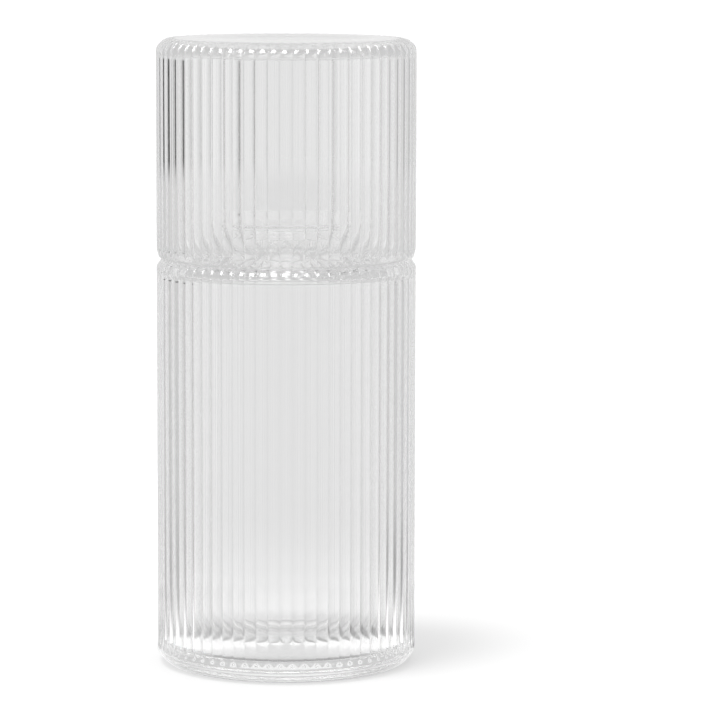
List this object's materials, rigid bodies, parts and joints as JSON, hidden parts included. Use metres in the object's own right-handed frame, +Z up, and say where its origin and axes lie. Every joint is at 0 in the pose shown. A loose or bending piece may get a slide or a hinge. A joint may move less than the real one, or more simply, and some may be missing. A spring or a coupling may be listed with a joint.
{
  "type": "bedside carafe with tumbler",
  "caption": "Ribbed clear glass carafe with a straight narrow neck; its ribbed tumbler stands upside down over the neck, rests on the shoulder and lifts off to drink from.",
  "frame": {"origin": "centre of the carafe's foot, on the surface it stands on", "axes": "+Z up along the common axis of carafe and tumbler; the crest of one rib on each glass lies on +X"},
  "size_m": [0.084, 0.084, 0.2033],
  "materials": {
    "carafe_glass": "clear blown glass, fire-polished",
    "tumbler_glass": "clear blown glass, fire-polished"
  },
  "bodies": {
    "carafe": {"carafe": "carafe_glass"},
    "tumbler": {"tumbler": "tumbler_glass"}
  },
  "joints": [
    {"name": "tumbler_lift", "type": "slide", "parent": "carafe", "child": "tumbler", "axis": [0, 0, 1], "range_m": [0, 0.07]}
  ]
}
